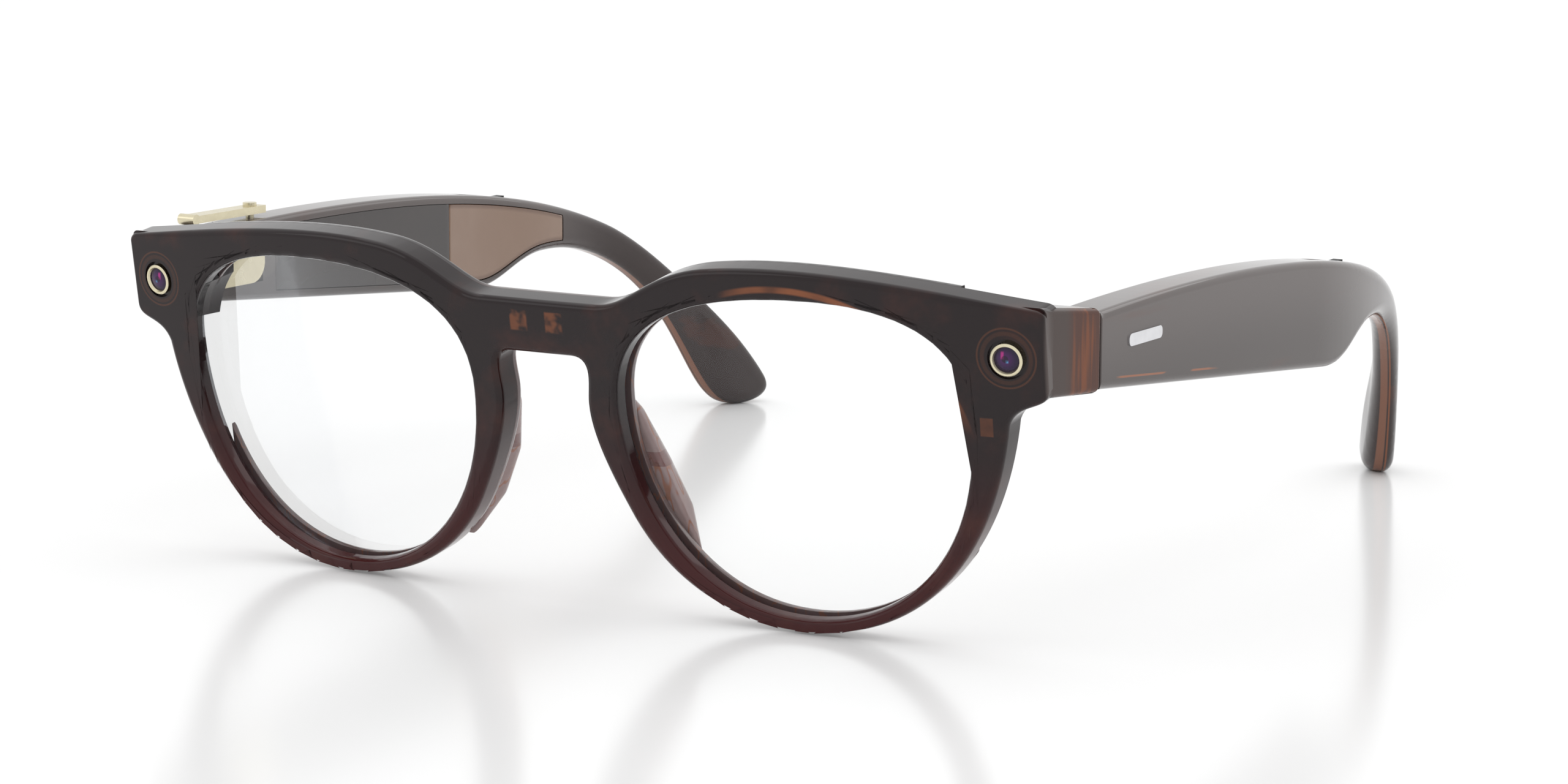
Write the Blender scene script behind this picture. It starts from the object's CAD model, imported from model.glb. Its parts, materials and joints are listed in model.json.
"""Looks of the smart glasses: smooth moulded shells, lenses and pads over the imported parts."""

import json
import math

import bmesh
import bpy
from mathutils import Matrix, Vector


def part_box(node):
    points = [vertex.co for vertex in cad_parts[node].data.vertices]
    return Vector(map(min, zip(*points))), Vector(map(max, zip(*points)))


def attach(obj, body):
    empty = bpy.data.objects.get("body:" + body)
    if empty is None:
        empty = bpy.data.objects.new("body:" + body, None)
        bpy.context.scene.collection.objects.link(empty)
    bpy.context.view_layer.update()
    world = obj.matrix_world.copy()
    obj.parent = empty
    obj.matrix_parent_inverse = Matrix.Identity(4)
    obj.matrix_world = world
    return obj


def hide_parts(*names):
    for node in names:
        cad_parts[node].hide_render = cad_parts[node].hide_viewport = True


bl_info = {
    "name": "Smart glasses",
    "version": (1, 0, 0),
    "blender": (4, 5, 0),
    "location": "3D View > Sidebar > Glasses",
    "description": "Builds the moulded shells, the lenses, the finishes and the stage of the glasses",
    "category": "Object",
}

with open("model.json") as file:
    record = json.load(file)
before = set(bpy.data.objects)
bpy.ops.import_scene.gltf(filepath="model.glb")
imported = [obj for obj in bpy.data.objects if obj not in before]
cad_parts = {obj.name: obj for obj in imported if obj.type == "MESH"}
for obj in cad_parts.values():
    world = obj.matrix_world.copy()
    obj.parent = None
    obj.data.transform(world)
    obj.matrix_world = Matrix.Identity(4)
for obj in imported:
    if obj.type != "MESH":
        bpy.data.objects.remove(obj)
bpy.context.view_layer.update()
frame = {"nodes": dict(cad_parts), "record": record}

MM = 0.001
SIDES = (("right", -1), ("left", 1))

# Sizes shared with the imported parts, in millimetres. The parts' own y counts back from the front.
OPENING_X0 = 11.1
OPENING_Z0 = 1.7
FRONT_Y0 = 4.7
FRONT_Z0 = -0.2
GROOVE_DEPTH = 1.55
LENS_T = 1.5
END_Z0 = 33.55
END_HEIGHT = 10.5
END_BACK = 13.4
HINGE_X = 66.3
HINGE_Y = 14.2
NOTCH_Z0 = 30
NOTCH_Z1 = 50
HALF_WIDTH = 75
TEMPLE_Y0 = 13.9
TEMPLE_Y1 = 154.1
TEMPLE_Z0 = 33.7
TEMPLE_Z1 = 43.5
TEMPLE_BEND = 85
TEMPLE_SLOPE = 0.0288
COVER_Y0 = 32
COVER_Y1 = 78
BOX_Y1 = 109
# The frame's y counts from the middle of the object.
DEPTH_MID = TEMPLE_Y0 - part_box("temple_shell_left")[0].y / MM


# ---------------------------------------------------------------- sizes and colours


class GlassesShape(bpy.types.PropertyGroup):
    """Sizes of the moulded pieces"""

    lens_w: bpy.props.FloatProperty(
        name="Lens width", description="Width of each opening", default=0.049, unit="LENGTH"
    )
    lens_h: bpy.props.FloatProperty(
        name="Lens height", description="Height of each opening", default=0.0425, unit="LENGTH"
    )
    front_r: bpy.props.FloatProperty(
        name="Front curve", description="Radius that the front follows", default=0.479, unit="LENGTH"
    )
    front_t: bpy.props.FloatProperty(
        name="Front wall", description="Thickness of the front shell", default=0.0039, unit="LENGTH"
    )
    rear_t: bpy.props.FloatProperty(
        name="Cover wall", description="Thickness of the rear cover", default=0.0013, unit="LENGTH"
    )
    tilt: bpy.props.FloatProperty(
        name="Lean", description="How far the front leans forward", default=math.radians(8.8),
        subtype="ANGLE",
    )
    front_edge: bpy.props.FloatProperty(
        name="Front rounding", description="Rounding of the front's outer edge", default=0.00095,
        unit="LENGTH",
    )
    rim_edge: bpy.props.FloatProperty(
        name="Rim rounding", description="Rounding round each opening", default=0.0006,
        unit="LENGTH",
    )
    temple_t: bpy.props.FloatProperty(
        name="Temple thickness", description="Thickness at the hinge", default=0.0064,
        unit="LENGTH",
    )
    waist_t: bpy.props.FloatProperty(
        name="Hook thickness", description="Thickness behind the bend", default=0.0042,
        unit="LENGTH",
    )
    tip_t: bpy.props.FloatProperty(
        name="Tip thickness", description="Thickness of the rounded tip", default=0.0054,
        unit="LENGTH",
    )
    temple_r: bpy.props.FloatProperty(
        name="Temple curve", description="Radius towards the ear", default=0.155, unit="LENGTH"
    )
    temple_edge: bpy.props.FloatProperty(
        name="Temple rounding", description="Rounding of the temple's long edges", default=0.0011,
        unit="LENGTH",
    )
    hook_edge: bpy.props.FloatProperty(
        name="Hook rounding", description="Rounding of the hook's edges", default=0.0024,
        unit="LENGTH",
    )
    wall: bpy.props.FloatProperty(
        name="Temple wall", description="Wall of the hollow temple", default=0.0013, unit="LENGTH"
    )


def colour(name, description, default):
    """A colour property, in linear light"""
    return bpy.props.FloatVectorProperty(
        name=name, description=description, default=default, size=3, min=0, max=1, subtype="COLOR"
    )


class GlassesFinish(bpy.types.PropertyGroup):
    """Colours of the moulded pieces"""

    front: colour("Front", "Dark brown of the front", (0.0125, 0.0068, 0.0075))
    wine: colour("Wine", "Red brown of the lower rims", (0.044, 0.0042, 0.0045))
    amber: colour("Amber", "Orange brown of thin and inner places", (0.30, 0.095, 0.035))
    cover: colour("Rear cover", "Grey brown of the rear cover", (0.13, 0.095, 0.095))
    temple: colour("Temple", "Grey brown of the temples", (0.060, 0.048, 0.045))
    inner: colour("Inner cover", "Dark grey of the temples' covers", (0.030, 0.024, 0.023))
    tan: colour("Sound box", "Tan of the boxes behind the covers", (0.23, 0.145, 0.10))
    pad: colour("Nose pads", "Pinkish brown of the pads", (0.30, 0.20, 0.19))
    gold: colour("Pale gold", "Metal of the rings, the hinges and the button", (0.70, 0.64, 0.46))


class GlassesStage(bpy.types.PropertyGroup):
    """The stage and its camera"""

    place: bpy.props.FloatVectorProperty(
        name="Camera", description="Where the camera stands",
        default=(0.263712, -0.475183, 0.111526), size=3, subtype="TRANSLATION",
    )
    azimuth: bpy.props.FloatProperty(
        name="Azimuth", description="How far round the camera looks", default=math.radians(29.674),
        subtype="ANGLE",
    )
    down: bpy.props.FloatProperty(
        name="Down", description="How far down the camera looks", default=math.radians(9.782),
        subtype="ANGLE",
    )
    roll: bpy.props.FloatProperty(
        name="Roll", description="Turn about the line of sight", default=math.radians(0.314),
        subtype="ANGLE",
    )
    lens: bpy.props.FloatProperty(
        name="Focal length", description="On a sensor 36 mm wide", default=85.94,
        subtype="DISTANCE_CAMERA",
    )


def shape():
    return bpy.context.scene.glasses_shape


def finish_colours():
    return bpy.context.scene.glasses_finish


def mm(value):
    return value / MM


# ---------------------------------------------------------------- outlines, in millimetres


def curve(p0, p1, p2, p3, steps=24):
    """Points on a cubic curve, without the last one"""
    points = []
    for i in range(steps):
        t = i / steps
        u = 1 - t
        points.append(
            tuple(
                u**3 * a + 3 * u * u * t * b + 3 * u * t * t * c + t**3 * d
                for a, b, c, d in zip(p0, p1, p2, p3)
            )
        )
    return points


def opening_outline():
    """One opening in the front's own plane, on the wearer's left"""
    s = shape()
    w, h = mm(s.lens_w), mm(s.lens_h)

    def at(x, z):
        return (OPENING_X0 + x * w, OPENING_Z0 + z * h)

    return (
        curve(at(0, 0.634), at(0, 0.899), at(0.212, 1.003), at(0.549, 1), 30)
        + curve(at(0.549, 1), at(0.855, 1), at(1, 0.884), at(1, 0.657), 30)
        + curve(at(1, 0.657), at(1, 0.267), at(0.804, 0), at(0.504, 0), 34)
        + curve(at(0.504, 0), at(0.171, 0), at(0, 0.338), at(0, 0.634), 34)
    )


def front_outline():
    """The whole front in its own plane"""
    half = (
        [(0, 41.8)]
        + curve((9, 41.8), (14, 42), (17, 47), (26, 47.7), 20)
        + curve((26, 47.7), (40, 49.1), (56, 46.35), (68.9, 44.6), 30)
        + curve((68.9, 44.6), (69.8, 44.5), (70.3, 44.0), (70.3, 43.2), 7)
        + curve((70.3, 34.5), (70.3, 31.7), (66.2, 33), (64.9, 29.6), 16)
        + curve((64.9, 29.6), (62.4, 13.5), (53.2, 0), (36, 0), 36)
        + curve((36, 0), (27, 0), (17.5, 3.6), (12, 13.2), 24)
        + curve((12, 13.2), (9.6, 17.7), (6.6, 23.7), (6.6, 28.5), 18)
        + curve((6.6, 28.5), (6.6, 30.9), (8, 34.6), (4.6, 34.6), 14)
        + [(4.6, 34.6), (0, 34.6)]
    )
    return half + [(-x, z) for x, z in reversed(half[1:-1])]


TEMPLE_TOP = curve((14.9, 43.5), (60, 45.2), (100, 42.5), (122, 33.3), 44) + curve(
    (122, 33.3), (132, 29.2), (146.9, 15.3), (153.1, 4.8), 26
)
TEMPLE_UNDER = (
    curve((148.7, 0), (143.8, 0), (141.9, 6.1), (137.4, 13.4), 18)
    + curve((137.4, 13.4), (131.8, 22.5), (122.1, 31.3), (104.6, 30.7), 26)
    + curve((104.6, 30.7), (96.6, 30.5), (93, 25.9), (84.6, 26.8), 16)
    + [(84.6, 26.8)]
)


def temple_outline():
    """Side of a temple as y and height"""
    return (
        [(TEMPLE_Y0, TEMPLE_Z0), (TEMPLE_Y0, TEMPLE_Z1)]
        + TEMPLE_TOP
        + curve((153.1, 4.8), (154.9, 1.6), (152.2, 0), (148.7, 0), 14)
        + TEMPLE_UNDER
    )


def height_at(points, y):
    """Height of a run of points at a given y"""
    run = sorted(points)
    if y <= run[0][0]:
        return run[0][1]
    for (y0, z0), (y1, z1) in zip(run, run[1:]):
        if y <= y1:
            return z0 + (z1 - z0) * (y - y0) / max(y1 - y0, 1e-6)
    return run[-1][1]


# ---------------------------------------------------------------- mesh tools


def new_object(name, bm):
    bmesh.ops.recalc_face_normals(bm, faces=bm.faces)
    mesh = bpy.data.meshes.new(name)
    bm.to_mesh(mesh)
    bm.free()
    made = bpy.data.objects.new(name, mesh)
    bpy.context.scene.collection.objects.link(made)
    return made


def extrude(bm, faces, move):
    """Draws flat faces out along a move into a closed shell"""
    made = bmesh.ops.extrude_face_region(bm, geom=faces)["geom"]
    far = [v for v in made if isinstance(v, bmesh.types.BMVert)]
    bmesh.ops.translate(bm, verts=far, vec=move)


def whole(bm):
    """Everything in a mesh, in the form that its cuts take"""
    return bm.verts[:] + bm.edges[:] + bm.faces[:]


def prism(name, outline, start, end, axis):
    """A flat outline drawn across one axis (0 or 1) and extruded along it"""
    bm = bmesh.new()
    for a, z in outline:
        bm.verts.new((start, a, z) if axis == 0 else (a, start, z))
    face = bm.faces.new(bm.verts)
    extrude(bm, [face], (end - start, 0, 0) if axis == 0 else (0, end - start, 0))
    return new_object(name, bm)


def block(name, low, high):
    """A box between two corners"""
    bm = bmesh.new()
    size = Vector(high) - Vector(low)
    place = Matrix.Translation((Vector(high) + Vector(low)) / 2)
    bmesh.ops.create_cube(bm, size=1, matrix=place @ Matrix.Diagonal((*size, 1)))
    return new_object(name, bm)


def rod(name, start, end, radius, segments=64):
    """A cylinder between two points"""
    bm = bmesh.new()
    along = Vector(end) - Vector(start)
    place = Matrix.Translation((Vector(start) + Vector(end)) / 2)
    turn = along.to_track_quat("Z", "Y").to_matrix().to_4x4()
    bmesh.ops.create_cone(
        bm, cap_ends=True, segments=segments, radius1=radius, radius2=radius,
        depth=along.length, matrix=place @ turn,
    )
    return new_object(name, bm)


def bake(piece):
    """Turns the piece's modifiers into plain mesh"""
    graph = bpy.context.evaluated_depsgraph_get()
    made = bpy.data.meshes.new_from_object(
        piece.evaluated_get(graph), preserve_all_data_layers=True, depsgraph=graph
    )
    old = piece.data
    piece.modifiers.clear()
    piece.data = made
    bpy.data.meshes.remove(old)
    made.name = piece.name
    return piece


def drop(piece):
    """Takes a tool and its mesh away"""
    mesh = piece.data
    bpy.data.objects.remove(piece)
    bpy.data.meshes.remove(mesh)


def cut_out(piece, tool):
    """Cuts the tool out of the piece, and drops the tool"""
    cut = piece.modifiers.new("cut", "BOOLEAN")
    cut.object = tool
    cut.operation = "DIFFERENCE"
    cut.solver = "EXACT"
    bake(piece)
    drop(tool)
    return piece


def add_in(piece, other):
    """Takes another closed shell into the piece's mesh"""

    def change(bm):
        bm.from_mesh(other.data)

    edit(piece, change)
    drop(other)
    return piece


def round_edges(piece, width, weight, segments=5, sharpest=0.7):
    """Rounds the piece's sharp edges, each by its own share of the width"""
    bm = bmesh.new()
    bm.from_mesh(piece.data)
    bmesh.ops.remove_doubles(bm, verts=bm.verts, dist=0.002)
    layer = bm.edges.layers.float.new("bevel_weight_edge")
    for edge in bm.edges:
        if len(edge.link_faces) == 2 and edge.calc_face_angle(0) > sharpest:
            edge[layer] = weight((edge.verts[0].co + edge.verts[1].co) / 2)
    bm.to_mesh(piece.data)
    bm.free()
    bevel = piece.modifiers.new("round", "BEVEL")
    bevel.width = width
    bevel.segments = segments
    bevel.limit_method = "WEIGHT"
    bevel.use_clamp_overlap = False
    return bake(piece)


def edit(piece, change):
    """Runs a change on the piece's mesh"""
    bm = bmesh.new()
    bm.from_mesh(piece.data)
    change(bm)
    bm.to_mesh(piece.data)
    bm.free()
    piece.data.update()
    return piece


def slice_along(bm, axis, start, end, step):
    """Cuts across one axis at even steps, so that the mesh can follow a curve"""
    normal = Vector((0, 0, 0))
    normal[axis] = 1
    count = int((end - start) / step)
    for i in range(1, count + 1):
        bmesh.ops.bisect_plane(
            bm, geom=whole(bm), dist=0.0005,
            plane_co=normal * (start + i * step), plane_no=normal,
        )


def settle(piece, sharp=0.75):
    """Smooth shading that keeps flat faces flat, with the mesh scaled to metres"""

    def change(bm):
        bmesh.ops.scale(bm, verts=bm.verts, vec=(MM, MM, MM))
        bmesh.ops.dissolve_degenerate(bm, dist=1e-7, edges=bm.edges)
        for face in bm.faces:
            face.smooth = True
        for edge in bm.edges:
            edge.smooth = edge.calc_face_angle(0) < sharp

    edit(piece, change)
    normals = piece.modifiers.new("even", "WEIGHTED_NORMAL")
    normals.keep_sharp = True
    return bake(piece)


def ease(value):
    """0 to 1 with a soft start and end"""
    value = max(0.0, min(1.0, value))
    return value * value * (3 - 2 * value)


# ---------------------------------------------------------------- the front


def tilted_point(co):
    """From the front's flat plan (x, depth, height) to the frame, without the front's curve"""
    c, n = math.cos(shape().tilt), math.sin(shape().tilt)
    y = FRONT_Y0 + co.y * c - co.z * n
    return Vector((co.x, y - DEPTH_MID, FRONT_Z0 + co.y * n + co.z * c))


def curve_depth(x, depth=0.0):
    """How far back a layer of the curved front lies at x"""
    radius = mm(shape().front_r)
    return radius - math.sqrt((radius - depth) ** 2 - x**2)


def front_point(co):
    """From the front's flat plan to its place in the frame"""
    return tilted_point(Vector((co.x, curve_depth(co.x, co.y), co.z)))


def bend_front(piece, step=2.0):
    """Gives a flat piece the front's curve and lean"""

    def change(bm):
        reach = 72
        slice_along(bm, 0, -reach, reach, step)
        for v in bm.verts:
            v.co = front_point(v.co)

    return edit(piece, change)


def both_openings(name, start, end, grow=0.0):
    """Cutters for the two openings, in the front's flat plan"""
    made = []
    for side_name, side in SIDES:
        tool = prism(f"{name}_{side_name}", opening_outline(), start, end, 1)
        if grow:
            edit(tool, lambda bm: spread(bm, grow))
        if side < 0:
            edit(tool, flip_side)
        made.append(tool)
    return made


def flip_side(bm):
    """Mirrors a piece to the wearer's other side"""
    bmesh.ops.scale(bm, verts=bm.verts, vec=(-1, 1, 1))
    bmesh.ops.reverse_faces(bm, faces=bm.faces)


def spread(bm, distance):
    """Moves a prism's walls outwards in its own plane"""
    moves = {}
    for v in bm.verts:
        total = Vector((0, 0, 0))
        for face in v.link_faces:
            if abs(face.normal.y) < 0.5:
                total += face.normal
        moves[v] = total.normalized() * distance
    for v, move in moves.items():
        v.co += move


# An end block from above, as x and the parts' own y
END_PLAN = (
    (57, 2.2), (70.28, 2.2), (70.3, 6.0), (73.2, 12.8), (73.1, 13.15), (72.8, END_BACK),
    (65.7, END_BACK), (65.7, 10.4), (57, 9.3),
)


def face_y(x, z):
    """How far back the front's face lies at a given x and height"""
    y = curve_depth(x)
    c, n = math.cos(shape().tilt), math.sin(shape().tilt)
    return FRONT_Y0 + y * c - (z - FRONT_Z0 - y * n) / c * n


def end_block(side_name, side):
    """The block behind one end of the front, which meets the temple's butt"""
    bm = bmesh.new()
    for x, y in END_PLAN:
        bm.verts.new((x, y, END_Z0))
    extrude(bm, [bm.faces.new(bm.verts)], (0, 0, END_HEIGHT))
    for v in bm.verts:
        # its front lies just behind the leaning face, and its top rises towards it
        if v.co.y < 3:
            v.co.y = face_y(v.co.x, v.co.z) + 0.8
        if v.co.z > END_Z0 + END_HEIGHT / 2:
            v.co.z += 0.095 * (END_BACK - v.co.y)
    piece = new_object(f"end_block_{side_name}", bm)

    def weight(co):
        long_edge = abs(co.z - END_Z0 - END_HEIGHT / 2) > 5 and co.x > 68.5
        return 1.0 if long_edge else 0.0

    round_edges(piece, 0.9, weight)
    tool = prism("end_opening", opening_outline(), -6, 20, 1)

    def tilt(bm):
        for v in bm.verts:
            v.co = tilted_point(v.co) + Vector((0, DEPTH_MID, 0))

    cut_out(piece, edit(tool, tilt))

    def place(bm):
        if side < 0:
            flip_side(bm)
        bmesh.ops.translate(bm, verts=bm.verts, vec=(0, -DEPTH_MID, 0))

    return edit(piece, place)


def window_axis(node):
    """Centre of a ring's front and the way straight into the front there, in millimetres"""
    low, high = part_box(node)
    middle = (low + high) / 2 / MM
    s = shape()
    lean = math.asin(abs(middle.x) / mm(s.front_r))
    into = Vector((-math.copysign(math.sin(lean), middle.x), math.cos(lean), 0))
    into = Matrix.Rotation(s.tilt, 3, "X") @ into
    return middle, into


def cylinder_cut(piece, centre, into, radius, start, end):
    """Bores into a piece, from start to end along the way in"""
    cut_out(piece, rod("bore", centre + into * start, centre + into * end, radius))


def build_front():
    """The front's shell with its openings, grooves and window bores, and a block at each end"""
    s = shape()
    thick = mm(s.front_t)
    piece = prism("front_shell", front_outline(), 0, thick, 1)
    for tool in both_openings("opening", -2, thick + 2):
        cut_out(piece, tool)
    for tool in both_openings("groove", thick - GROOVE_DEPTH, thick + 2, 1.0):
        cut_out(piece, tool)
    outer, inner = mm(s.front_edge), mm(s.rim_edge)

    def weight(co):
        if co.y > 0.3:
            return 0.0
        reach = min(math.hypot(abs(co.x) - x, co.z - z) for x, z in opening_outline()[::3])
        low = ease((28 - co.z) / 16)
        if reach < 1.0:
            return (inner + 0.7 * low) / outer
        corner = ease((abs(co.x) - 58) / 9) * ease((co.z - 29) / 5)
        return 1.0 + 0.5 * low - 0.5 * corner

    round_edges(piece, outer, weight, segments=6)
    bend_front(piece)
    for side_name, side in SIDES:
        ends = end_block(side_name, side)
        # a notch round the hinge's knuckles, and the seat of its leaf in front of them
        pin_x, pin_y = side * HINGE_X, HINGE_Y - DEPTH_MID
        cut_out(ends, rod("notch", (pin_x, pin_y, NOTCH_Z0), (pin_x, pin_y, NOTCH_Z1), 2.0, 48))
        x0, x1 = sorted((side * (HINGE_X - 2.6), side * (HINGE_X - 0.4)))
        cut_out(ends, block("leaf_seat", (x0, 10.5 - DEPTH_MID, 34.1), (x1, pin_y, 43.1)))
        # the ring's wide, shallow bore and the window's narrow, deep one
        centre, into = window_axis("light_ring" if side < 0 else "camera_ring")
        for part in (piece, ends):
            cylinder_cut(part, centre, into, 2.55, -3, -0.12)
            cylinder_cut(part, centre, into, 2.1, -3, 1.6)
        add_in(piece, ends)
    settle(piece)
    return piece


def build_rear():
    """The cover on the back of the front, with the seat of the charging block"""
    s = shape()
    start, thick = mm(s.front_t), mm(s.rear_t)
    piece = prism("rear_shell", front_outline(), start + 0.02, start + thick, 1)
    for tool in both_openings("opening", start - 2, start + thick + 2):
        cut_out(piece, tool)
    end_x, seat_z0, seat_z1 = 58, 35.8, 40.4
    for side in (1, -1):
        x0, x1 = sorted((side * end_x, side * 90))
        cut_out(piece, block("end", (x0, -5, -5), (x1, 20, 60)))
    low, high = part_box("contact_carrier")
    half = mm((high - low).x) / 2 + 0.05
    cut_out(piece, block("carrier_seat", (-half, 0, seat_z0), (half, 20, seat_z1)))

    def weight(co):
        at_seat = abs(co.x) < half + 0.1 and seat_z0 - 0.1 < co.z < seat_z1 + 0.1
        if at_seat or abs(co.x) > end_x - 0.1:
            return 0.1
        return 1.0 if co.y > start + thick - 0.2 else 0.12

    round_edges(piece, 0.7, weight, segments=4)
    bend_front(piece)
    return settle(piece)


def build_lens(side_name, side):
    """A lens that reaches into the front's groove"""
    start = mm(shape().front_t) - GROOVE_DEPTH
    piece = prism(f"lens_glass_{side_name}", opening_outline(), start, start + LENS_T, 1)
    edit(piece, lambda bm: spread(bm, 0.95))
    if side < 0:
        edit(piece, flip_side)
    bend_front(piece, 3.0)
    return settle(piece)


# The middle and the width of the balls that a nose pad is drawn round
PAD_BALLS = (
    ((8.8, 4, 28.4), 3.4), ((9.6, 6.4, 25.4), 3.2), ((11.8, 8.2, 18.4), 3.4),
    ((14.6, 8, 12.4), 3.6), ((17.6, 5, 7.4), 3.2),
)


def build_pad(side_name, side):
    """A soft wedge between the rim and the nose"""
    bm = bmesh.new()
    for centre, size in PAD_BALLS:
        bmesh.ops.create_icosphere(
            bm, subdivisions=4, radius=size / 2 - 0.05, matrix=Matrix.Translation(centre)
        )
    hull = bmesh.ops.convex_hull(bm, input=bm.verts)
    inside = hull["geom_interior"] + hull["geom_unused"]
    spare = {v for v in inside if isinstance(v, bmesh.types.BMVert)}
    bmesh.ops.delete(bm, geom=list(spare), context="VERTS")
    cut = bmesh.ops.bisect_plane(
        bm, geom=whole(bm), dist=0.001, plane_co=(8, 5.22, 0), plane_no=(-0.03, 1, 0),
        clear_inner=True,
    )
    rim = [e for e in cut["geom_cut"] if isinstance(e, bmesh.types.BMEdge)]
    bmesh.ops.holes_fill(bm, edges=rim, sides=0)
    piece = new_object(f"nose_pad_soft_{side_name}", bm)
    remesh = piece.modifiers.new("even", "REMESH")
    remesh.mode = "VOXEL"
    remesh.voxel_size = 0.28
    bake(piece)

    def soften(bm):
        for _ in range(7):
            bmesh.ops.smooth_vert(
                bm, verts=bm.verts, factor=0.5, use_axis_x=True, use_axis_y=True, use_axis_z=True
            )
        if side < 0:
            flip_side(bm)
        for v in bm.verts:
            v.co = tilted_point(v.co)

    edit(piece, soften)
    return settle(piece, 2.0)


# ---------------------------------------------------------------- the temples


def outer_x(y):
    """A temple's outer face: a straight stretch and then an arc"""
    radius = mm(shape().temple_r)
    bend = TEMPLE_BEND - radius * TEMPLE_SLOPE
    arc = HALF_WIDTH - radius + math.sqrt(radius**2 - (max(y, bend) - TEMPLE_BEND) ** 2)
    return arc - TEMPLE_SLOPE * max(bend - y, 0)


def thickness(y):
    """A temple's thickness, which narrows behind the bend and grows again at the tip"""
    s = shape()
    full, waist, tip = mm(s.temple_t), mm(s.waist_t), mm(s.tip_t)
    if y < 130:
        return full - (full - waist) * ease((y - 97) / 30)
    return waist + (tip - waist) * ease((y - 136) / 13.5)


def temple_point(co, side):
    """From a temple's straight plan (depth, y, height) to its place in the frame"""
    share = co.x / mm(shape().temple_t)
    return Vector((side * (outer_x(co.y) - share * thickness(co.y)), co.y - DEPTH_MID, co.z))


def bend_temple(piece, side, start, end, step=2.0):
    """Follows the temple's curve, and keeps how deep and how high each point lies"""
    s = shape()
    under = [(TEMPLE_Y0, TEMPLE_Z0)] + TEMPLE_UNDER
    top = [(TEMPLE_Y0, TEMPLE_Z1)] + TEMPLE_TOP + [(TEMPLE_Y1, 2.4)]

    def change(bm):
        slice_along(bm, 1, start, end, step)
        across = bm.verts.layers.float.new("across")
        rise = bm.verts.layers.float.new("rise")
        fall = bm.verts.layers.float.new("fall")
        for v in bm.verts:
            v[across] = v.co.x / mm(s.temple_t)
            v[rise] = v.co.z - height_at(under, v.co.y)
            v[fall] = height_at(top, v.co.y) - v.co.z
        if side < 0:
            bmesh.ops.reverse_faces(bm, faces=bm.faces)
        for v in bm.verts:
            v.co = temple_point(v.co, side)
        bmesh.ops.recalc_face_normals(bm, faces=bm.faces)

    return edit(piece, change)


def inset_prism(name, inset, y_from, y_to, d_from, d_to):
    """The temple's side outline, made smaller and cut to a stretch of y"""
    bm = bmesh.new()
    for y, z in temple_outline():
        bm.verts.new((d_from, y, z))
    face = bm.faces.new(bm.verts)
    face.normal_update()
    bmesh.ops.inset_region(
        bm, faces=[face], thickness=inset, use_boundary=True, use_even_offset=True
    )
    bmesh.ops.delete(bm, geom=[f for f in bm.faces if f is not face], context="FACES")
    for y, keep in ((y_from, -1), (y_to, 1)):
        bmesh.ops.bisect_plane(
            bm, geom=whole(bm), dist=0.0005, plane_co=(0, y, 0), plane_no=(0, keep, 0),
            clear_outer=True,
        )
    extrude(bm, bm.faces[:], (d_to - d_from, 0, 0))
    return new_object(name, bm)


def vent_cutter(less=0.0):
    """A cutter for the slot on top of a temple, shorter by less at both ends"""
    return block("vent", (2.9, 84 + less, 36), (4.3, 97 - less, 50))


def build_temple(side_name, side):
    """A temple and its hook, hollow up to the bend and open on the inner side"""
    s = shape()
    full, wall = mm(s.temple_t), mm(s.wall)
    piece = prism(f"temple_body_{side_name}", temple_outline(), 0, full, 0)
    widest = mm(s.hook_edge)

    def weight(co):
        if co.y < TEMPLE_Y0 + 0.3:
            return 0.2 / widest
        share = ease((co.y - 88) / 36)
        return (mm(s.temple_edge) * (1 - share) + widest * share) / widest

    round_edges(piece, widest, weight, segments=6)
    cut_out(piece, inset_prism("hollow", wall, COVER_Y0, BOX_Y1, wall, full + 2))
    # room for the hinge's knuckles and for the slider's foot
    pin = outer_x(HINGE_Y) - HINGE_X
    cut_out(piece, rod("notch", (pin, HINGE_Y, NOTCH_Z0), (pin, HINGE_Y, NOTCH_Z1), 2.1, 48))
    cut_out(piece, block("notch_side", (pin - 2.1, 12, NOTCH_Z0), (pin + 3.5, HINGE_Y, NOTCH_Z1)))
    cut_out(piece, block("foot_room", (pin - 3.4, 13.2, 36.05), (pin + 3.5, 17.5, 41.15)))
    low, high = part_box(f"hinge_housing_{side_name}")
    y0, y1 = mm(low.y) + DEPTH_MID, mm(high.y) + DEPTH_MID
    deep = outer_x((y0 + y1) / 2) - max(abs(mm(low.x)), abs(mm(high.x)))
    seat_low = (deep - 0.2, y0 - 0.05, mm(low.z) - 0.05)
    seat_high = (8.5, y1 + 0.05, mm(high.z) + 0.05)
    cut_out(piece, block("housing_seat", seat_low, seat_high))
    cut_out(piece, vent_cutter())
    bend_temple(piece, side, TEMPLE_Y0, TEMPLE_Y1)
    return settle(piece)


def build_cover(side_name, side):
    """The dark cover on a temple's inner side, with the power switch's window on the left one"""
    full, inset = mm(shape().temple_t), mm(shape().wall) + 0.05
    y0, y1 = COVER_Y0 + 0.05, COVER_Y1 - 0.05
    piece = inset_prism(f"temple_panel_{side_name}", inset, y0, y1, full - 1.2, full)
    round_edges(piece, 0.14, lambda co: 1.0 if co.x > full - 0.2 else 0.0, segments=2)
    if side > 0:
        low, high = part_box("power_switch")
        y0, y1 = mm(low.y) + DEPTH_MID - 0.2, mm(high.y) + DEPTH_MID + 2.2
        window_low, window_high = (3, y0, mm(low.z) - 0.2), (8, y1, mm(high.z) + 0.2)
        cut_out(piece, block("switch_window", window_low, window_high))
    bend_temple(piece, side, COVER_Y0, COVER_Y1, 3.0)
    return settle(piece)


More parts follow.
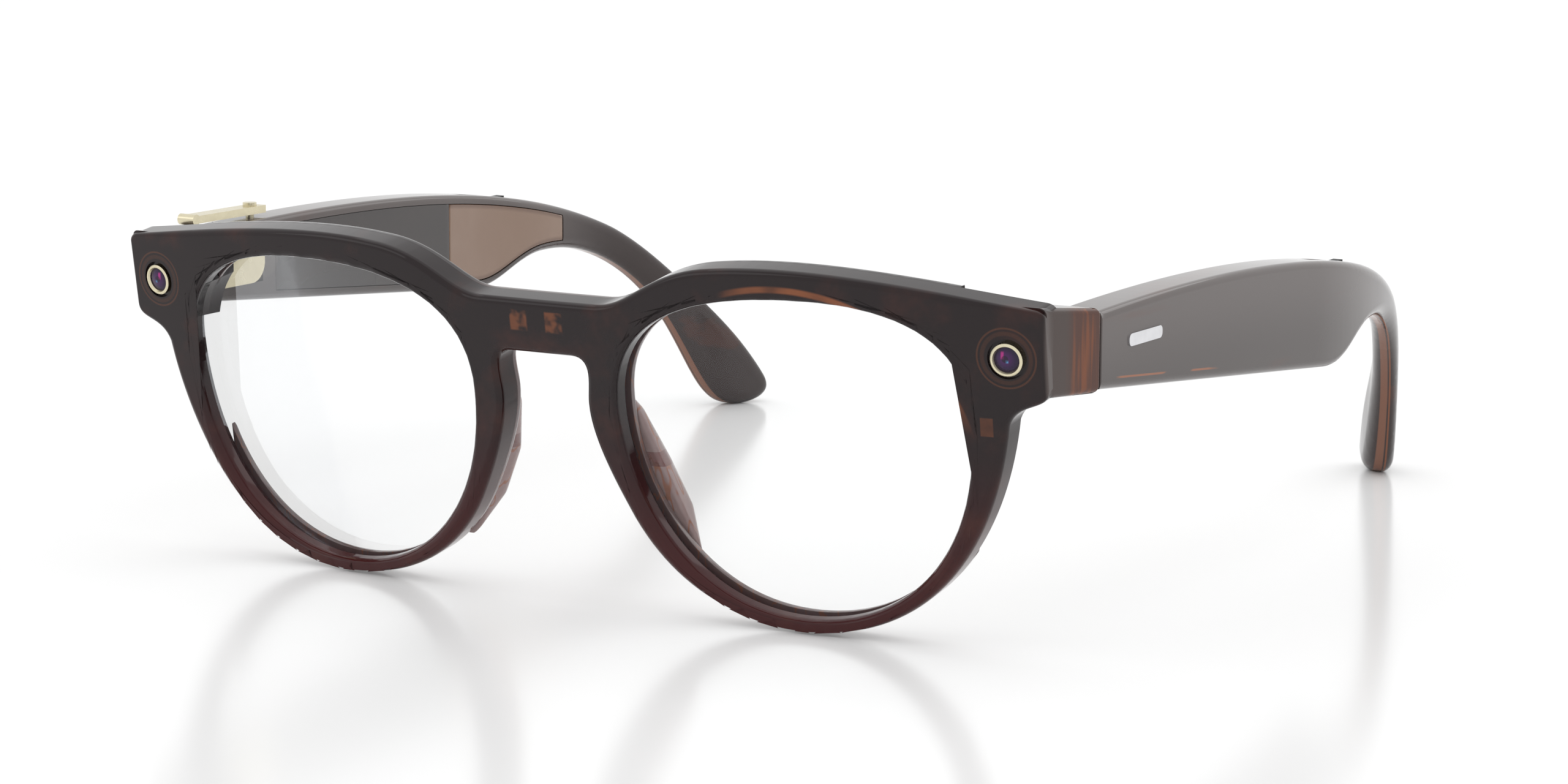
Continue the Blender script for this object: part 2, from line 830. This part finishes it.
def build_sound_box(side_name, side):
    """The tan box behind a temple's cover, with its slot on top"""
    full, wall = mm(shape().temple_t), mm(shape().wall)
    y0, y1 = COVER_Y1 + 0.1, BOX_Y1 - 0.1
    piece = inset_prism(f"sound_box_{side_name}", wall + 0.05, y0, y1, wall + 0.1, full)
    round_edges(piece, 0.3, lambda co: 1.0 if co.x > full - 0.2 else 0.0, segments=3)
    cut_out(piece, vent_cutter(0.4))
    bend_temple(piece, side, COVER_Y1, BOX_Y1, 2.5)
    return settle(piece)


# ---------------------------------------------------------------- shader tools


class Value:
    """A number socket that Python's operators work on"""

    def __init__(self, tree, socket):
        self.tree = tree
        self.socket = socket

    def _math(self, operation, first, second):
        return self.tree.value("ShaderNodeMath", {"operation": operation}, {0: first, 1: second})

    def __add__(self, other):
        return self._math("ADD", self, other)

    def __sub__(self, other):
        return self._math("SUBTRACT", self, other)

    def __rsub__(self, other):
        return self._math("SUBTRACT", other, self)

    def __mul__(self, other):
        return self._math("MULTIPLY", self, other)

    def __truediv__(self, other):
        return self._math("DIVIDE", self, other)

    def __abs__(self):
        return self._math("ABSOLUTE", self, 0)

    def above(self, start, end):
        """0 below start, 1 above end, smooth between"""
        return self.tree.value(
            "ShaderNodeMapRange", {"interpolation_type": "SMOOTHSTEP"},
            {"Value": self, "From Min": start, "From Max": end},
        )

    def below(self, start, end):
        return 1 - self.above(start, end)

    def near(self, middle, half, soft):
        """1 within half of the middle"""
        return abs(self - middle).below(half, half + soft)

    def at_least(self, other):
        return self._math("MAXIMUM", self, other)


class Tree:
    """A material's nodes"""

    def __init__(self, name):
        self.material = bpy.data.materials.new("look_" + name)
        self.material.use_nodes = True
        self.nodes = self.material.node_tree.nodes
        self.links = self.material.node_tree.links
        self.nodes.clear()

    def node(self, kind, settings=None, inputs=None):
        made = self.nodes.new(kind)
        for key, value in (settings or {}).items():
            if key == "stops":
                ramp = made.color_ramp
                while len(ramp.elements) < len(value):
                    ramp.elements.new(0.5)
                for element, (place, shade) in zip(ramp.elements, value):
                    element.position = place
                    element.color = (*shade, 1)
            else:
                setattr(made, key, value)
        for key, value in (inputs or {}).items():
            socket = made.inputs[key]
            if isinstance(value, Value):
                self.links.new(value.socket, socket)
            elif isinstance(value, bpy.types.NodeSocket):
                self.links.new(value, socket)
            elif socket.type == "RGBA":
                socket.default_value = (*value, 1)
            else:
                socket.default_value = value
        return made

    def value(self, kind, settings=None, inputs=None, output=0):
        return Value(self, self.node(kind, settings, inputs).outputs[output])

    def place(self):
        """x, y and z of the surface in millimetres"""
        split = self.node(
            "ShaderNodeSeparateXYZ", None, {0: self.node("ShaderNodeTexCoord").outputs["Object"]}
        )
        return [Value(self, split.outputs[i]) * (1 / MM) for i in range(3)]

    def kept(self, name):
        """A number that the mesh keeps at its points"""
        made = self.node("ShaderNodeAttribute", {"attribute_name": name})
        return Value(self, made.outputs["Fac"])

    def noise(self, scale, detail=3.0, stretch=(1, 1, 1), rough=0.55):
        """Noise whose features are about 1 / scale metres, pulled out by the stretch"""
        spot = self.node(
            "ShaderNodeMapping", None,
            {0: self.node("ShaderNodeTexCoord").outputs["Object"], "Scale": stretch},
        )
        return self.value(
            "ShaderNodeTexNoise", None,
            {"Vector": spot.outputs[0], "Scale": scale, "Detail": detail, "Roughness": rough},
        )

    def length(self, across, up):
        """Length of a flat step with these two parts"""
        square = across * across + up * up
        return self.value("ShaderNodeMath", {"operation": "SQRT"}, {0: square})

    def mix(self, factor, first, second):
        made = self.node(
            "ShaderNodeMix", {"data_type": "RGBA"}, {0: factor, 6: first, 7: second}
        )
        return made.outputs[2]

    def bump(self, height, strength, distance):
        made = self.node(
            "ShaderNodeBump", None, {"Height": height, "Strength": strength, "Distance": distance}
        )
        return made.outputs[0]

    def principled(self, inputs):
        """The main shader, with sockets named by words joined with underscores"""
        named = {key.replace("_", " "): value for key, value in inputs.items()}
        return self.node("ShaderNodeBsdfPrincipled", None, named).outputs[0]

    def output(self, shader):
        self.links.new(shader, self.node("ShaderNodeOutputMaterial").inputs[0])
        return self.material

    def surface(self, **inputs):
        """A material of the main shader alone"""
        return self.output(self.principled(inputs))

    def through(self, clear, **inputs):
        """The main shader, let through by a share of plain clear shader"""
        plain = self.node("ShaderNodeBsdfTransparent", None, {"Color": (0.993, 0.995, 0.995)})
        both = self.node(
            "ShaderNodeMixShader", None,
            {0: clear, 1: self.principled(inputs), 2: plain.outputs[0]},
        )
        return self.output(both.outputs[0])


def front_brown():
    t = Tree("front_brown")
    c = finish_colours()
    x, y, z = t.place()
    low = z.below(6, 30)
    base = t.mix(low, c.front, c.wine)
    side = abs(x)
    blotch = t.noise(95, 4).above(0.50, 0.74) * 0.42
    base = t.mix(blotch, base, (0.075, 0.020, 0.013))
    # light that comes through beside the openings and round the windows
    oval = t.length((side - 35.6) / 24.5, (z - 23.2) / 21.3)
    glow = oval.near(1.03, 0.010, 0.016) * z.above(27, 36) * x.above(20, 34)
    base = t.mix(glow * t.noise(130, 2).above(0.35, 0.6) * 0.7, base, c.amber)
    away = t.length(side - 65.3, z - 38.55)
    rings = away.near(3.75, 0.07, 0.09).at_least(away.near(3.1, 0.16, 0.2) * 0.5)
    base = t.mix(rings * 0.42, base, (0.13, 0.045, 0.020))
    inner = x.near(62.3, 0.75, 0.15) * z.near(29.6, 1.1, 0.15)
    base = t.mix(inner * (t.noise(600, 2) * 0.3 + 0.08), base, c.amber)
    pads = (side - 2.7).near(0, 1.15, 0.3) * z.near(38.4, 1.2, 0.3)
    base = t.mix(pads * t.noise(500, 2).above(0.35, 0.6) * 0.45, base, c.amber)
    # the clearer side walls behind the face, orange just before the seam
    streaks = t.noise(900, 2, (1, 1, 0.05)).above(0.52, 0.70)
    wall = side.above(69.9, 70.3) * y.above(-72.6, -71.6)
    base = t.mix(wall, base, (0.085, 0.066, 0.061))
    band = side.above(69.9, 70.3) * y.above(-68.2, -66.0)
    base = t.mix(band * 0.75, base, (0.105, 0.045, 0.033))
    base = t.mix(band * streaks * 0.5, base, c.amber)
    return t.surface(
        Base_Color=base, Roughness=t.noise(300, 2) * 0.03 + 0.05, IOR=1.5,
        Specular_IOR_Level=0.3,
    )


def cover_brown():
    t = Tree("cover_brown")
    c = finish_colours()
    shade = t.noise(80, 3).above(0.4, 0.75)
    base = t.mix(shade * 0.4, c.cover, (0.12, 0.06, 0.05))
    line = t.noise(420, 2, (1, 1, 0.3)).near(0.5, 0.006, 0.012)
    base = t.mix(line * 0.35, base, c.amber)
    z = t.place()[2]
    base = t.mix(z.above(40.5, 43), base, c.front)
    return t.surface(Base_Color=base, Roughness=0.09, IOR=1.5, Coat_Weight=0.2)


def temple_brown():
    t = Tree("temple_brown")
    c = finish_colours()
    y = t.place()[1]
    across, rise, fall = t.kept("across"), t.kept("rise"), t.kept("fall")
    glow = fall.below(0.5, 12)
    base = t.mix(glow, c.temple, (0.105, 0.088, 0.084))
    back = y.above(24, 46)
    base = t.mix(back * 0.8, base, (0.022, 0.012, 0.011))
    streak = t.noise(160, 3, (1, 0.12, 1)).above(0.60, 0.68)
    base = t.mix(streak * 0.22, base, (0.12, 0.035, 0.018))
    upper = rise.near(1.5, 0.09, 0.08) * y.near(-16, 40, 2) * across.below(0.1, 0.2)
    broken = t.noise(120, 2, (1, 0.5, 1)).above(0.50, 0.54)
    base = t.mix(upper * broken * 0.9, base, c.amber)
    core = across.near(0.52, 0.11, 0.05) * rise.below(0.6, 1.4) * y.above(22, 30)
    base = t.mix(core * 0.9, base, (0.20, 0.085, 0.05))
    edge = across.near(0.30, 0.015, 0.03) * rise.below(2.5, 4) * y.above(24, 34)
    base = t.mix(edge * 0.6, base, c.amber)
    return t.surface(
        Base_Color=base, Roughness=t.noise(260, 2) * 0.04 + 0.06, IOR=1.5,
        Specular_IOR_Level=0.4,
    )


def cover_grey():
    t = Tree("cover_grey")
    c = finish_colours()
    shade = t.noise(60, 3, (1, 0.4, 1)).above(0.4, 0.8)
    base = t.mix(shade * 0.5, c.inner, (0.055, 0.042, 0.038))
    return t.surface(Base_Color=base, Roughness=0.14, IOR=1.5, Coat_Weight=0.15)


def speaker_tan():
    t = Tree("speaker_tan")
    c = finish_colours()
    rise, fall = t.kept("rise"), t.kept("fall")
    shade = t.noise(70, 3).above(0.35, 0.8)
    base = t.mix(shade * 0.45, c.tan, (0.30, 0.21, 0.16))
    rim = rise.below(1.6, 2.3).at_least(fall.below(1.6, 2.3))
    base = t.mix(rim * 0.6, base, (0.10, 0.045, 0.028))
    return t.surface(Base_Color=base, Roughness=0.16, IOR=1.5, Coat_Weight=0.2)


def pad_brown():
    t = Tree("pad_brown")
    c = finish_colours()
    z = t.place()[2]
    shade = t.noise(140, 3).above(0.4, 0.75)
    base = t.mix(shade * 0.3, c.pad, (0.20, 0.13, 0.13))
    line = t.noise(240, 2, (1, 1, 0.25)).near(0.5, 0.008, 0.012)
    base = t.mix(line * 0.8, base, c.amber)
    mark = z.near(20.3, 0.9, 0.1)
    base = t.mix(mark * 0.7, base, (0.12, 0.012, 0.010))
    return t.surface(
        Base_Color=base, Roughness=0.12, IOR=1.45, Coat_Weight=0.2, Alpha=0.82
    )


def clear_lens():
    t = Tree("clear_lens")
    edge = t.value("ShaderNodeFresnel", None, {"IOR": 1.4})
    clear = 1 - edge * 0.22
    return t.through(
        clear, Base_Color=(0.75, 0.77, 0.80), Roughness=t.noise(50, 1) * 0.01 + 0.01,
        Metallic=1.0,
    )


def pale_gold():
    t = Tree("pale_gold")
    c = finish_colours()
    shade = t.noise(700, 3)
    base = t.mix(shade.above(0.35, 0.7) * 0.25, c.gold, (0.56, 0.50, 0.35))
    return t.surface(
        Base_Color=base, Metallic=1.0, Roughness=shade * 0.08 + 0.24,
        Normal=t.bump(t.noise(1500, 1), 0.05, 0.000002),
    )


def coated_glass():
    t = Tree("coated_glass")
    x, _, z = t.place()
    low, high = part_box("camera_window")
    middle = (low + high) / 2 / MM
    across, up = abs(x) - middle.x, z - middle.z
    away = t.length(across, up)
    base = t.mix(away.below(0.3, 1.5), (0.016, 0.006, 0.035), (0.050, 0.008, 0.075))
    glint = across.near(-0.35, 0.10, 0.18) * up.near(0.45, 0.3, 0.3)
    base = t.mix(glint * 0.8, base, (0.45, 0.03, 0.22))
    spark = across.near(0.25, 0.09, 0.14) * up.near(-0.30, 0.10, 0.14)
    base = t.mix(spark * 0.9, base, (0.10, 0.30, 0.55))
    pupil = away.below(0.38, 0.5)
    base = t.mix(pupil * 0.7, base, (0.004, 0.003, 0.008))
    return t.surface(
        Base_Color=base, Roughness=t.noise(900, 1) * 0.02 + 0.03, IOR=1.5,
        Specular_IOR_Level=0.35,
    )


def plain(name, base, rough, metal=0.0, grain=400, vary=0.25, depth=0.00002):
    """A moulded, plated or printed finish with a fine grain"""
    t = Tree(name)
    shade = t.noise(grain, 3)
    darker = tuple(v * 0.6 for v in base)
    return t.surface(
        Base_Color=t.mix(shade.above(0.35, 0.7) * vary, base, darker), Metallic=metal,
        Roughness=shade * 0.12 + rough, Normal=t.bump(t.noise(grain * 4, 2), 0.1, depth / 4),
    )


def board_green():
    t = Tree("board_green")
    tracks = t.node(
        "ShaderNodeTexBrick", {"offset": 0.35},
        {
            "Vector": t.node("ShaderNodeTexCoord").outputs["Object"], "Scale": 420,
            "Mortar Size": 0.035, "Color1": (0.03, 0.11, 0.05), "Color2": (0.04, 0.14, 0.07),
            "Mortar": (0.09, 0.20, 0.09),
        },
    )
    return t.surface(Base_Color=tracks.outputs[0], Roughness=t.noise(500, 2) * 0.1 + 0.38)


def mesh_black():
    t = Tree("mesh_black")
    weave = t.node(
        "ShaderNodeTexVoronoi", {"feature": "F1"},
        {"Vector": t.node("ShaderNodeTexCoord").outputs["Object"], "Scale": 4500},
    )
    holes = Value(t, weave.outputs[0])
    base = t.mix(holes.above(0.25, 0.5), (0.002, 0.002, 0.002), (0.03, 0.03, 0.03))
    return t.surface(Base_Color=base, Roughness=0.6, Normal=t.bump(holes, 0.6, 0.00005))


def spring_steel():
    t = Tree("spring_steel")
    pitch = 0.62
    x, y, _ = t.place()
    turns = (y + x * 0.12) * (2 * math.pi / pitch)
    coils = t.value("ShaderNodeMath", {"operation": "SINE"}, {0: turns})
    base = t.mix(coils.above(-0.6, 0.2), (0.02, 0.02, 0.02), (0.55, 0.55, 0.56))
    return t.surface(
        Base_Color=base, Metallic=1.0, Roughness=0.3, Normal=t.bump(coils, 0.8, 0.0002)
    )


def make_finishes():
    """Every material slot of the record, by name"""
    return {
        "front_brown": front_brown(),
        "cover_brown": cover_brown(),
        "clear_lens": clear_lens(),
        "pad_brown": pad_brown(),
        "pale_gold": pale_gold(),
        "coated_glass": coated_glass(),
        "module_black": plain("module_black", (0.015, 0.015, 0.016), 0.35),
        "board_green": board_green(),
        "copper_plastic": plain("copper_plastic", (0.42, 0.15, 0.06), 0.3),
        "contact_gold": plain("contact_gold", (0.80, 0.58, 0.24), 0.15, 1.0),
        "microphone_metal": plain("microphone_metal", (0.55, 0.53, 0.47), 0.28, 1.0),
        "flex_orange": plain("flex_orange", (0.42, 0.11, 0.03), 0.25),
        "spring_steel": spring_steel(),
        "temple_brown": temple_brown(),
        "cover_grey": cover_grey(),
        "speaker_tan": speaker_tan(),
        "mesh_black": mesh_black(),
        "core_dark": plain("core_dark", (0.008, 0.006, 0.006), 0.2),
        "bar_metal": plain("bar_metal", (0.70, 0.70, 0.72), 0.08, 1.0, 900, 0.15),
        "battery_foil": plain("battery_foil", (0.16, 0.17, 0.19), 0.3, 0.8),
        "switch_tan": plain("switch_tan", (0.42, 0.30, 0.20), 0.35),
    }


def finish(name):
    """The finish of a material slot, made with all others when it is first asked for"""
    if "look_" + name not in bpy.data.materials:
        make_finishes()
    return bpy.data.materials["look_" + name]


def hand_over(piece, node, body, slot):
    """Gives a finished piece its material, its body and the CAD nodes that it stands for"""
    piece.data.materials.clear()
    piece.data.materials.append(finish(slot))
    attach(piece, body)
    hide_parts(node)


# ---------------------------------------------------------------- operators


class GLASSES_OT_front(bpy.types.Operator):
    """Build the front shell with its end pieces"""

    bl_idname = "glasses.front"
    bl_label = "Front shell"

    def execute(self, context):
        hand_over(build_front(), "front_frame", "front", "front_brown")
        return {"FINISHED"}


class GLASSES_OT_rear(bpy.types.Operator):
    """Build the cover on the back of the front"""

    bl_idname = "glasses.rear"
    bl_label = "Rear cover"

    def execute(self, context):
        hand_over(build_rear(), "rear_cover", "front", "cover_brown")
        return {"FINISHED"}


class GLASSES_OT_lenses(bpy.types.Operator):
    """Build the two lenses"""

    bl_idname = "glasses.lenses"
    bl_label = "Lenses"

    def execute(self, context):
        for side_name, side in SIDES:
            hand_over(build_lens(side_name, side), f"lens_{side_name}", "front", "clear_lens")
        return {"FINISHED"}


class GLASSES_OT_pads(bpy.types.Operator):
    """Build the two nose pads"""

    bl_idname = "glasses.pads"
    bl_label = "Nose pads"

    def execute(self, context):
        for side_name, side in SIDES:
            hand_over(build_pad(side_name, side), f"nose_pad_{side_name}", "front", "pad_brown")
        return {"FINISHED"}


class GLASSES_OT_temples(bpy.types.Operator):
    """Build the two temples' shells with their ear hooks"""

    bl_idname = "glasses.temples"
    bl_label = "Temple shells"

    def execute(self, context):
        for side_name, side in SIDES:
            piece = build_temple(side_name, side)
            hand_over(piece, f"temple_shell_{side_name}", f"temple_{side_name}", "temple_brown")
        return {"FINISHED"}


class GLASSES_OT_covers(bpy.types.Operator):
    """Build the covers on the temples' inner sides"""

    bl_idname = "glasses.covers"
    bl_label = "Temple covers"

    def execute(self, context):
        for side_name, side in SIDES:
            piece = build_cover(side_name, side)
            hand_over(piece, f"temple_cover_{side_name}", f"temple_{side_name}", "cover_grey")
            piece = build_sound_box(side_name, side)
            hand_over(piece, f"speaker_box_{side_name}", f"temple_{side_name}", "speaker_tan")
        return {"FINISHED"}


class GLASSES_OT_hardware(bpy.types.Operator):
    """Give the metal, glass and electronic parts their finishes"""

    bl_idname = "glasses.hardware"
    bl_label = "Finishes of the small parts"

    def execute(self, context):
        for part in frame["record"]["subparts"]:
            node = frame["nodes"][part["node"]]
            node.data.materials.clear()
            node.data.materials.append(finish(part["material_slot"]))
        return {"FINISHED"}


def area_light(name, place, target, size, power):
    """A soft white light that faces the target"""
    data = bpy.data.lights.new(name, "AREA")
    data.shape = "RECTANGLE"
    data.size, data.size_y = size
    data.energy = power
    made = bpy.data.objects.new(name, data)
    made.location = place
    away = Vector(target) - Vector(place)
    made.rotation_euler = away.to_track_quat("-Z", "Y").to_euler()
    bpy.context.scene.collection.objects.link(made)


def build_floor():
    bm = bmesh.new()
    bmesh.ops.create_grid(bm, x_segments=4, y_segments=4, size=6)
    floor = new_object("floor", bm)
    t = Tree("floor_white")
    t.surface(Base_Color=(0.94, 0.94, 0.94), Roughness=t.noise(3, 1) * 0.01 + 0.17, IOR=1.7)
    floor.data.materials.append(t.material)


def build_world(scene):
    """An even white surround"""
    world = bpy.data.worlds.new("studio")
    scene.world = world
    world.use_nodes = True
    sky = world.node_tree.nodes["Background"]
    sky.inputs["Color"].default_value = (1, 1, 1, 1)
    sky.inputs["Strength"].default_value = 1.0


def build_camera(scene):
    """The camera at its place, turned about the up axis, down and about its own line of sight"""
    s = scene.glasses_stage
    data = bpy.data.cameras.new("camera")
    data.lens = s.lens
    data.sensor_width = 36
    data.sensor_fit = "HORIZONTAL"
    data.clip_start = 0.01
    camera = bpy.data.objects.new("camera", data)
    around = Matrix.Rotation(s.azimuth, 3, "Z")
    level = Matrix.Rotation(math.pi / 2 - s.down, 3, "X")
    roll = Matrix.Rotation(s.roll, 3, "Z")
    camera.rotation_euler = (around @ level @ roll).to_euler()
    camera.location = s.place
    scene.collection.objects.link(camera)
    scene.camera = camera


class GLASSES_OT_stage(bpy.types.Operator):
    """Build the floor, the soft lights and the camera"""

    bl_idname = "glasses.stage"
    bl_label = "Stage"

    def execute(self, context):
        build_floor()
        build_world(context.scene)
        area_light("top_light", (0.0, 0.1, 0.9), (0, 0, 0), (1.2, 0.9), 1.5)
        area_light("front_light", (-0.7, -0.9, 0.7), (0, 0, 0), (0.7, 0.5), 0.8)
        area_light("back_light", (0.4, 1.0, 0.8), (0, 0, 0.02), (0.9, 0.4), 1.0)
        build_camera(context.scene)
        context.scene.view_settings.view_transform = "Standard"
        return {"FINISHED"}


class GLASSES_PT_panel(bpy.types.Panel):
    """Lists the steps in the order in which they run"""

    bl_idname = "GLASSES_PT_panel"
    bl_label = "Smart glasses"
    bl_space_type = "VIEW_3D"
    bl_region_type = "UI"
    bl_category = "Glasses"

    def draw(self, context):
        for step in STEPS:
            self.layout.operator(step.bl_idname)
        for group in ("glasses_shape", "glasses_finish", "glasses_stage"):
            values = getattr(context.scene, group)
            box = self.layout.box()
            for key in values.__annotations__:
                box.prop(values, key)


STEPS = (
    GLASSES_OT_hardware,
    GLASSES_OT_front,
    GLASSES_OT_rear,
    GLASSES_OT_lenses,
    GLASSES_OT_pads,
    GLASSES_OT_temples,
    GLASSES_OT_covers,
    GLASSES_OT_stage,
)
CLASSES = (GlassesShape, GlassesFinish, GlassesStage, *STEPS, GLASSES_PT_panel)


def register():
    for cls in CLASSES:
        bpy.utils.register_class(cls)
    bpy.types.Scene.glasses_shape = bpy.props.PointerProperty(type=GlassesShape)
    bpy.types.Scene.glasses_finish = bpy.props.PointerProperty(type=GlassesFinish)
    bpy.types.Scene.glasses_stage = bpy.props.PointerProperty(type=GlassesStage)


def unregister():
    del bpy.types.Scene.glasses_stage
    del bpy.types.Scene.glasses_finish
    del bpy.types.Scene.glasses_shape
    for cls in reversed(CLASSES):
        bpy.utils.unregister_class(cls)


def main():
    register()
    for step in STEPS:
        group, name = step.bl_idname.split(".")
        getattr(getattr(bpy.ops, group), name)()


if __name__ == "__main__":
    main()
